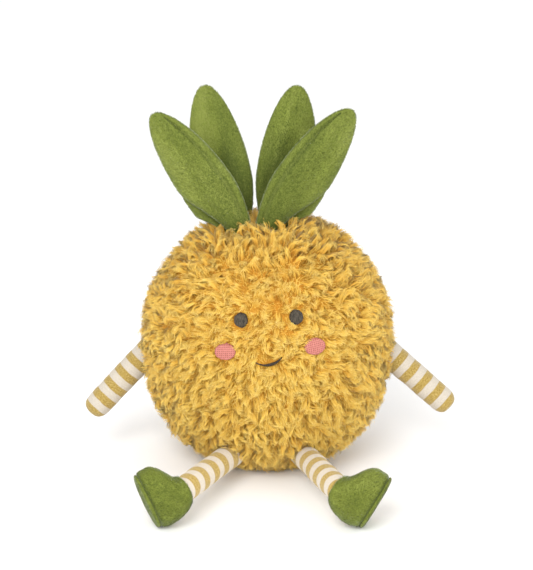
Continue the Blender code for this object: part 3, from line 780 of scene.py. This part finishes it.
def fuzz(name, mesh, spacing, length, material, seed):
    """A short pile over a surface, leaning the way the surface's own lean attribute says."""
    random = np.random.default_rng(seed)
    mesh.calc_loop_triangles()
    triangles = read(mesh.loop_triangles, "vertices", 3, int)
    points = read(mesh.vertices, "co", 3)
    normals = read(mesh.vertices, "normal", 3)
    lean = read(mesh.attributes["lean"].data, "vector", 3)
    painted_shading = read(mesh.attributes["painted_shading"].data, "value", 1)
    corners = points[triangles]
    area = np.linalg.norm(np.cross(corners[:, 1] - corners[:, 0], corners[:, 2] - corners[:, 0]), axis=1) / 2
    count = int(area.sum() / spacing**2)
    chosen = triangles[random.choice(len(triangles), size=count, p=area / area.sum())]
    share = random.dirichlet((1, 1, 1), count)
    spot, out, way, shading = (np.einsum("ij,ijk->ik", share, v[chosen]) for v in (points, normals, lean, painted_shading))
    # No pile grows where the painted shade is strongest.
    keep = shading[:, 0] < PILE_STOPS_AT
    spot, out, way, shading = spot[keep], unit(out[keep]), way[keep], shading[keep, 0]
    way = unit(flattened(way, out))
    count = len(spot)
    swirl, patch, tuft = (np.array([noise.noise(Vector(p) / size + Vector((shift,) * 3)) for p in spot])
                          for size, shift in ((0.006, 0), (0.019, 5), (0.0012, 0)))
    way = turned(way, np.cross(out, way), swirl * 0.45 + random.normal(0, 0.30, count))
    tall = length * random.uniform(0.7, 1.25, count)
    lift = 0.55 + 0.3 * patch
    middle = spot + out * (tall * 0.42 * lift)[:, None] + way * (tall * 0.38)[:, None]
    tip = spot + out * (tall * 0.72 * lift)[:, None] + way * (tall * 0.9)[:, None]
    lines = np.stack([spot - out * 0.0001, middle, tip], 1)
    wide = unit(np.cross(unit(np.gradient(lines, axis=1)), out[:, None, :]))
    wide = turned(wide, out[:, None, :], random.normal(0, 0.4, count)[:, None])
    wide = wide * (PILE_WIDTH / 2 * np.array([1.0, 0.85, 0.3])[None, :, None])
    lines[:, :, 2] = np.maximum(lines[:, :, 2], FLOOR_CLEAR)
    # The tint also carries the painted shading: painted shade darkens the pile, painted light (below 0) lightens
    # it.
    tint = np.clip(0.50 + 0.36 * patch + 0.38 * tuft - 1.0 * shading + random.normal(0, 0.20, count), 0.01, 0.99)
    shown = unit(out + (0.30 - 0.5 * tuft)[:, None] * way + random.normal(0, 0.24, (count, 3)))[:, None, :]
    ribbon_piece(name, lines, wide, (0.0, 0.5, 1.0), tint, material, shown)


# ---- leaves

def leaf_half_width(v):
    if v < LEAF_WIDEST_AT:
        swell = math.sin(math.pi / 2 * max(0.0, v) / LEAF_WIDEST_AT)
        return LEAF_WIDTH / 2 * (LEAF_BASE_SHARE + (1 - LEAF_BASE_SHARE) * swell)
    narrow = math.cos(math.pi / 2 * min(1.0, (v - LEAF_WIDEST_AT) / (1 - LEAF_WIDEST_AT)))
    return LEAF_WIDTH / 2 * max(0.0, narrow) ** LEAF_TIP_POWER


def smooth(value):
    value = min(1.0, max(0.0, value))
    return value * value * (3 - 2 * value)


def leaf_frame(place):
    """Where a leaf is sewn in, then its directions along, across and out of its face."""
    widths_across, offset_y, lean_side, lean_back, turn = place
    side, back = math.radians(lean_side), math.radians(lean_back)
    upright = math.cos(side)
    direction = Vector((math.sin(side), math.sin(back) * upright, math.cos(back) * upright)).normalized()
    facing = Vector((math.sin(math.radians(turn)), -math.cos(math.radians(turn)), 0))
    facing = (facing - direction * facing.dot(direction)).normalized()
    across = direction.cross(facing)
    seat_x = LEAF_CENTRE_X + widths_across * LEAF_WIDTH
    upper = BODY_TOP - WIDEST_HEIGHT
    top = WIDEST_HEIGHT + upper * (1 - (abs(seat_x) / HALF_WIDTH) ** ROUNDNESS) ** (1 / ROUNDNESS)
    return Vector((seat_x, offset_y, top - LEAF_SEAT)), direction, across, facing


def bell(value, width):
    return math.exp(-((value / width) ** 2))


def leaf_ring(place_frame, v, left_share, right_share, shape, seed, length):
    """One ring round a stuffed leaf: shape gives its painted shading (painted shade above 0, painted light below
    0), hollow and pinch at u across and s round.
    """
    seat, direction, across, facing = place_frame
    half = max(0.0006, leaf_half_width(v))
    fullness = max(0.0, math.sin(math.pi * (0.12 + 0.86 * v))) ** 0.6
    thick = LEAF_THICKNESS / 2 * min(1.0, fullness) * min(1.0, half / 0.011) ** 0.7
    bow = -LEAF_BOW * math.sin(math.pi * v)
    ring, painted_shading, pile = [], [], []
    for angle in circle(80):
        c, s = math.cos(angle), math.sin(angle)
        u = math.copysign(abs(c) ** 0.85, c)
        lift = math.copysign(abs(s) ** 0.85, s)
        shading, hollow, pinch = shape(u, s, v, half)
        spread = u * half * (right_share if u > 0 else left_share)
        out = (facing * s + across * c).normalized()
        spot = seat + direction * (length * v) + across * spread + facing * (lift * thick + bow - hollow)
        up = v * LEAF_LENGTH
        wrinkle = noise.noise(Vector((spread / 0.009, up / 0.022, seed * 3.1 + (1 if s > 0 else 5))))
        small = noise.noise(Vector((spread / 0.0035, up / 0.010, seed * 1.7)))
        push = facing * math.copysign(abs(s) ** 0.5, s)
        ring.append(spot + push * (0.0009 * wrinkle + 0.00025 * small) * min(1.0, thick / 0.003) - out * pinch)
        painted_shading.append(shading)
        pile.append((spread, up * PILE_STRETCH, lift * thick * 0.3 + seed))
    return ring, painted_shading, pile


def velour_piece(name, levels, lean, cloths, replaced, seed, spacing=0.00046, length=0.0012, close_start=True):
    """A closed velour form through levels of ring, painted shading and pile place, and the short pile that stands
    on it.
    """
    rings, painted_shading, pile = ([level[k] for level in levels] for k in range(3))
    painted_shading, pile = ([value for ring in values for value in ring] for values in (painted_shading, pile))
    mesh = rings_mesh(name + "_velour", rings, close_start)
    extra = len(mesh.vertices) - len(painted_shading)
    set_floats(mesh, "painted_shading", painted_shading + [0.0] * extra)
    set_vectors(mesh, "pile", pile + [pile[0], pile[-1]][-extra:])
    set_vectors(mesh, "lean", [lean] * len(mesh.vertices))
    add_piece(name + "_velour", outward(mesh), cloths[0], replaced)
    fuzz(name + "_pile", mesh, spacing, length, cloths[1], seed)


def make_leaf(name, place, cloths, seed):
    place_frame = leaf_frame(place)
    direction, across = place_frame[1], place_frame[2]
    is_front = "front" in name
    outer = 1 if across.x * place[2] > 0 else -1

    def front_shape(u, s, v, half):
        """A seam that shows along the inner edge, and painted shade in it, at the base and on the inner side, with
        painted light on the outer side and near the tip.
        """
        side = u * outer
        seam = bell(s - 0.64, 0.11) if side < 0 and v < 0.95 else bell(s, 0.12)
        shade = painted_light = crest = 0.0
        if s >= 0:
            # Painted shade: darker towards the base and along the inner side.
            shade = 0.07 + 0.30 * smooth((0.36 - v) / 0.36)
            shade += 0.16 * bell(side + 0.40, 0.35) * smooth((0.8 - v) / 0.4)
            # Painted light: lighter on the outer side and near the tip.
            painted_light = 0.26 * smooth((side + 0.05) / 0.6) * smooth((v - 0.16) / 0.3)
            painted_light += 0.14 * smooth((v - 0.7) / 0.2)
        if s > 0:
            crest = 0.0007 * bell(u + 0.15 * outer, 0.25) * smooth((0.75 - v) / 0.3)
        pinch = 0.0016 * seam * min(1.0, half / 0.006)
        # The seam lies darker as painted shade.
        return 0.80 * seam + (shade - painted_light) * (1 - seam), -crest, pinch

    def back_shape(u, s, v, half):
        """A valley down the leaf with painted shade in it and towards the base, a dimple and a line of painted
        shade along a crease near the tip, and painted light on the upper part.
        """
        # The seam lies darker as painted shade.
        seam = bell(s, 0.12)
        pinch = 0.0006 * seam
        if s <= 0:
            return 0.7 * seam, 0.0, pinch
        low = smooth((0.80 - v) / 0.35)
        valley = 0.0032 * bell(u - 0.10 * outer, 0.30) * low
        valley += 0.0020 * bell(u + 0.55, 0.18) * smooth((0.45 - v) / 0.2)
        dimple = 0.0017 * bell(v - 0.82, 0.045) * bell(u - 0.12, 0.22)
        # Painted shade: darker towards the base and in the valley.
        shade = 0.62 * smooth((0.52 - v) / 0.34) + 0.62 * bell(u + 0.25 * outer, 0.34) * low
        # Painted shade along a crease near the tip.
        crease_shade = 0.45 * bell(v - 0.84, 0.05) * bell(u - 0.10, 0.06)
        # Painted light on the upper part, strongest on the back left leaf.
        painted_light = (0.55 if place[2] < 0 else 0.12) * smooth((v - 0.34) / 0.25) * smooth((0.45 - u) / 0.8)
        return 0.7 * seam + min(0.58, crease_shade + shade - painted_light) * (1 - seam), valley + dimple, pinch

    levels, rows = [], 92
    for row in range(rows + 1):
        v = 1 - (1 - row / rows) ** 1.6
        tucked = 0.30 + 0.70 * smooth((v + 0.02) / 0.50) ** 1.3 if is_front else 1.0
        shares = (tucked, 1.0) if outer < 0 else (1.0, tucked)
        length = LEAF_LENGTH * LEAF_SHORTER.get(name, 1.0)
        shape = front_shape if is_front else back_shape
        levels.append(leaf_ring(place_frame, v, *shares, shape, seed, length))
    parts = [name + "_front_panel", name + "_back_panel", name + "_stuffing"]
    velour_piece(name, levels, direction, cloths, parts, seed)
    if is_front:
        make_fold(name, place_frame, outer, cloths, seed + 20)


def make_fold(name, place_frame, outer, cloths, seed):
    """The corner of a front leaf's base, folded back behind its face."""
    seat, direction, across, facing = place_frame
    levels, rows = [], 40
    for row in range(rows + 1):
        share = row / rows
        v = -0.02 + 0.50 * (1 - (1 - share) ** 1.5)
        edge = 0.0207 - 0.0085 * smooth((0.24 - v) / 0.16) - 0.0014 * smooth((v - 0.34) / 0.1)
        near = 0.10 * edge
        end = max(0.06, 1 - smooth((share - 0.80) / 0.2) * 0.94)
        centre, half = (edge + near) / 2, (edge - near) / 2 * end
        ring, painted_shading, pile = [], [], []
        for angle in circle(48):
            c, s = math.cos(angle), math.sin(angle)
            crumple = noise.noise(Vector((c * 0.8, v * 9.0, seed * 1.3)))
            lift = math.copysign(abs(s) ** 0.85, s) * 0.0033 * end * (1 + 0.25 * crumple)
            aside = across * (outer * (centre + half * c))
            ring.append(seat + direction * (LEAF_LENGTH * v) + aside + facing * (lift - 0.0054))
            # Painted shadow: darker along the fold's seam and away from its outer edge, where the leaf's face
            # covers it.
            painted_shading.append(max(0.55 * bell(s, 0.14), 0.58 * smooth((0.8 - c) / 0.8)))
            pile.append((centre + half * c, v * LEAF_LENGTH * PILE_STRETCH, seed))
        levels.append((ring, painted_shading, pile))
    velour_piece(name + "_fold", levels, direction, cloths, (), seed)


# ---- limbs

def sewn_tube(name, rings, cloth, material, replaced):
    """A closed tube, whose cloth attribute says where each point lies in its weave."""
    mesh = rings_mesh(name, rings)
    set_vectors(mesh, "cloth", cloth + [cloth[0], cloth[-1]])
    return add_piece(name, outward(mesh), material, replaced)


def limb_piece(name, start, direction, stations, material, seed):
    """A rumpled jersey tube through its stations: how far along each is, and its radius."""
    along, across = frame_of(direction, Vector((0, 0, 1)))
    rings, cloth = [], []
    for far, radius in stations:
        ring = []
        for angle in circle(48):
            way = along * math.cos(angle) + across * math.sin(angle)
            crumple = noise.noise(way * 1.1 + direction * (far / 0.008) + Vector((seed * 2.3, 0, 0)))
            fold = noise.noise(way * 0.45 + direction * (far / 0.0034) + Vector((0, seed * 4.1, 0)))
            ring.append(start + direction * far + way * (radius * (1 + 0.030 * crumple + 0.022 * fold)))
            cloth.append((angle * ARM_RADIUS, far + BAND_SHIFT[name] + 0.0004 * fold, seed))
        rings.append(ring)
    parts = [name + "_sleeve", name + "_stuffing"]
    sewn_tube(name + "_jersey", rings, cloth, material, parts)


def make_arm(name, material, seed):
    straight = ARM_LENGTH - ARM_RADIUS
    stations = []
    for share in np.arange(65) / 64:
        radius = ARM_RADIUS * (1 - (1 - ARM_TAPER) * share * 0.72)
        stations.append((-LIMB_TUCK + (straight + LIMB_TUCK) * share, radius))
    end = stations[-1][1]
    for step in range(1, 15):
        angle = math.radians(90 * step / 15)
        stations.append((straight + ARM_RADIUS * math.sin(angle), end * math.cos(angle) ** 0.62))
    limb_piece(name, *arms[name], stations, material, seed)


def make_leg(side, boot, material, seed):
    length = LEG_LENGTH + LEG_IN_BOOT + LIMB_TUCK
    stations = [(length * step / 72 - LIMB_TUCK, LEG_RADIUS) for step in range(73)]
    limb_piece("leg_" + side, boot.start, boot.leg, stations, material, seed)


def make_boot(side, boot, cloths, seed):
    name = "foot_" + side
    steps, count = 44, 72

    def drawn_in(ring, middle, share, shift=Vector()):
        return [middle + (p - middle) * share + shift for p in ring]

    cuff, centre = boot.ring(0.0, count)
    lining = (LEG_RADIUS - 0.0006) / (LEG_RADIUS + 0.0015)
    # Painted shade: the rings inside the cuff's opening are darkened, 0.9 then 0.3.
    outline = [(drawn_in(cuff, centre, lining, boot.leg * 0.0022), 0.9, 0.0),
               (drawn_in(cuff, centre, 0.93, boot.leg * -0.0003), 0.3, 0.0)]
    for step in range(steps + 1):
        t = step / steps
        # Painted shade along the seam where the upper meets the sole.
        seam = bell(1 - t, 0.030)
        outline.append((drawn_in(*boot.ring(t, count), 1 - 0.050 * seam), 0.95 * seam, t))
    # Painted shade: the underside ring is darkened fully.
    outline.append((drawn_in(boot.ring(1.0, count)[0], boot.under, 0.80), 1.0, 1.0))
    levels = []
    for ring, shading, t in outline:
        middle = sum(ring, Vector()) / count
        made, pile = [], []
        for p, angle in zip(ring, circle(count)):
            lump = noise.noise(p / 0.011 + Vector((seed, 0, 0))) * 0.0007 + noise.noise(p / 0.004) * 0.0002
            gather = math.sin(angle * 11 + seed) * 0.00018 * bell(1 - t, 0.12)
            made.append(p + (p - middle).normalized() * ((lump + gather) * min(1.0, t * 6)))
            pile.append((angle * BOOT_PILE_TURN, t * 0.02, seed))
        levels.append((made, [shading] * count, pile))
    lean = boot.toe * 0.5 + boot.out * 0.5
    parts = [name + "_upper", name + "_stuffing"]
    velour_piece(name, levels, lean, cloths, parts, seed, 0.00044, close_start=False)

    levels = []
    # Painted shade: each ring's third number darkens the sole's rim along its seam with the upper.
    for depth, share, shading in SOLE_RINGS:
        centre = boot.under + boot.out * (BOOT_GAP + SOLE_SHARE * SOLE_THICKNESS * depth)
        pile = [(angle * BOOT_PILE_TURN, share * 0.02, seed + 2) for angle in circle(count)]
        levels.append((boot.sole_ring(centre, share, count), [shading] * count, pile))
    velour_piece(name + "_sole", levels, boot.toe, cloths, [name + "_sole"], seed + 1, 0.00044, 0.00110)


# ---- face

def make_patch(name, place, material, seed):
    """Satin stitch: upright threads side by side over a low mound."""
    across, height, width, tall = place
    point, out, sideways, up = face_frame(across, height)
    threads = int(round(width / THREAD_PITCH))
    per = 6
    columns, rows = threads * per, 22
    ends = np.random.default_rng(seed).uniform(0.93, 1.06, (threads, 2))
    points, cloth, flat = [], [], []
    for row in range(rows + 1):
        for column in range(columns + 1):
            x, y = 2 * column / columns - 1, 2 * row / rows - 1
            thread = min(threads - 1, column // per)
            edge = y * math.sqrt(max(0.0, 1 - x * x * 0.985)) * ends[thread][0 if y < 0 else 1]
            crown = 0.0011 * max(0.0, 1 - x * x) ** 0.5 * max(0.0, 1 - y * y) ** 0.5
            ridge = 0.00026 * abs(math.sin(math.pi * column / per)) ** 0.7
            sink = 0.0022 if row in (0, rows) or column in (0, columns) else 0.0
            right, rise = x * width / 2, edge * tall / 2
            points.append(point + sideways * right + up * rise + out * (0.0006 + crown + ridge - sink))
            cloth.append((right * 4, rise * 0.35, seed + 0.31 * thread))
            flat.append((right, rise, 0.0))
    wide = columns + 1
    quads = [(a, a + 1, a + wide + 1, a + wide) for r in range(rows) for a in range(r * wide, r * wide + columns)]
    mesh = grid_mesh(name + "_stitches", [tuple(p) for p in points], quads)
    set_vectors(mesh, "cloth", cloth)
    set_vectors(mesh, "flat", flat)
    add_piece(name + "_stitches", mesh, material, [name])


def make_mouth(material):
    """One thick thread laid along an arc, thickest a little left of its middle."""
    point, out, sideways, up = face_frame(*MOUTH_PLACE, MOUTH_TILT)
    half = MOUTH_WIDTH / 2
    radius = (half**2 + MOUTH_SAG**2) / (2 * MOUTH_SAG)
    middle = point + up * (radius - MOUTH_SAG / 2) + out * 0.0010
    sweep = math.asin(half / radius)
    rings, cloth = [], []
    for step in range(61):
        share = 2 * step / 60 - 1
        angle = sweep * share
        centre = middle + sideways * (radius * math.sin(angle)) - up * (radius * math.cos(angle))
        way = (sideways * math.cos(angle) + up * math.sin(angle)).normalized()
        upright = out.cross(way)
        thick = 0.00042 + 0.00064 * bell(share + 0.15, 0.5)
        size = thick * (1 + 0.10 * math.sin(step * 1.6)) * math.sqrt(max(0.02, 1 - share**8))
        ring = []
        for turn in circle(14):
            ring.append(centre + upright * (size * math.cos(turn)) + out * (size * 0.8 * math.sin(turn)))
            cloth.append((share * half, 0.3 * turn * thick, 9.0))
        rings.append(ring)
    sewn_tube("mouth_stitches", rings, cloth, material, ["mouth"])


# ---- stage

def make_stage():
    """A pale floor, soft studio light and the camera at the photograph's viewing angle."""
    scene = bpy.context.scene
    scene.view_settings.view_transform = "Standard"
    scene.view_settings.look = "None"
    scene.world = bpy.data.worlds.new("studio")
    scene.world.use_nodes = True
    background = scene.world.node_tree.nodes["Background"]
    background.inputs["Color"].default_value = (1.0, 1.0, 1.0, 1.0)
    background.inputs["Strength"].default_value = SKY_STRENGTH

    def stand(name, data, place, aim):
        item = bpy.data.objects.new(name, data)
        scene.collection.objects.link(item)
        item.location = place
        item.rotation_mode = "QUATERNION"
        item.rotation_quaternion = (Vector(aim) - Vector(place)).to_track_quat("-Z", "Y")
        return item

    mesh = bpy.data.meshes.new("floor")
    size = FLOOR_SIZE / 2
    mesh.from_pydata([(-size, -size, 0), (size, -size, 0), (size, size, 0), (-size, size, 0)], [], [(0, 1, 2, 3)])
    floor = bpy.data.objects.new("floor", mesh)
    scene.collection.objects.link(floor)
    paint = Paint("floor_paper", 0.9)
    paint.shader.inputs["Base Color"].default_value = (0.93, 0.93, 0.93, 1.0)
    paint.shader.inputs["Specular IOR Level"].default_value = 0.0
    mesh.materials.append(paint.material)

    for name, (place, aim, size, power) in LIGHTS.items():
        data = bpy.data.lights.new(name, "AREA")
        data.shape = "DISK"
        data.size = size
        data.energy = power
        stand(name, data, place, aim)

    data = bpy.data.cameras.new("camera")
    data.lens = CAMERA_LENS
    data.sensor_width = 36.0
    data.sensor_fit = "AUTO"
    data.clip_start = 0.05
    data.clip_end = 20.0
    tilt = math.radians(CAMERA_TILT)
    back = Vector((0, -math.cos(tilt), math.sin(tilt))) * CAMERA_DISTANCE
    scene.camera = stand("camera", data, CAMERA_AIM + back, CAMERA_AIM)


# ---- making

make_stage()
make_skin(skin_material())
plush = fur_material()
make_fur(plush)
make_undercoat(plush)

leaf_cloths = velour_material("leaf_velour", *LEAF_TONES), fuzz_material("leaf_pile", *LEAF_TONES)
boot_cloths = velour_material("boot_velour", *BOOT_TONES), fuzz_material("boot_pile", *BOOT_TONES)
for number, (leaf, place) in enumerate(LEAVES.items(), 1):
    make_leaf(leaf, place, leaf_cloths, number)

# One jersey, painted darker for the arms (0.82) and lighter for the legs (1.06): painted shade and painted light.
arm_jersey = jersey_material("arm_jersey", ARM_PITCH, 0.82)
for number, arm in enumerate(arms, 1):
    make_arm(arm, arm_jersey, number)
leg_jersey = jersey_material("leg_jersey", LEG_PITCH, 1.06)
for number, (side, boot) in enumerate(boots.items()):
    make_leg(side, boot, leg_jersey, number + 3)
    make_boot(side, boot, boot_cloths, number + 11)

eye_thread = thread_material("eye_thread", (0.010, 0.008, 0.005), (0.110, 0.090, 0.065))
cheek_thread = thread_material("cheek_thread", (0.42, 0.140, 0.115), (0.58, 0.235, 0.195), (0.20, 0.055, 0.040))
for number, (name, place) in enumerate(FACE.items(), 1):
    make_patch(name, place, eye_thread if name.startswith("eye") else cheek_thread, number)
make_mouth(thread_material("mouth_thread", (0.016, 0.011, 0.006), (0.075, 0.055, 0.034)))
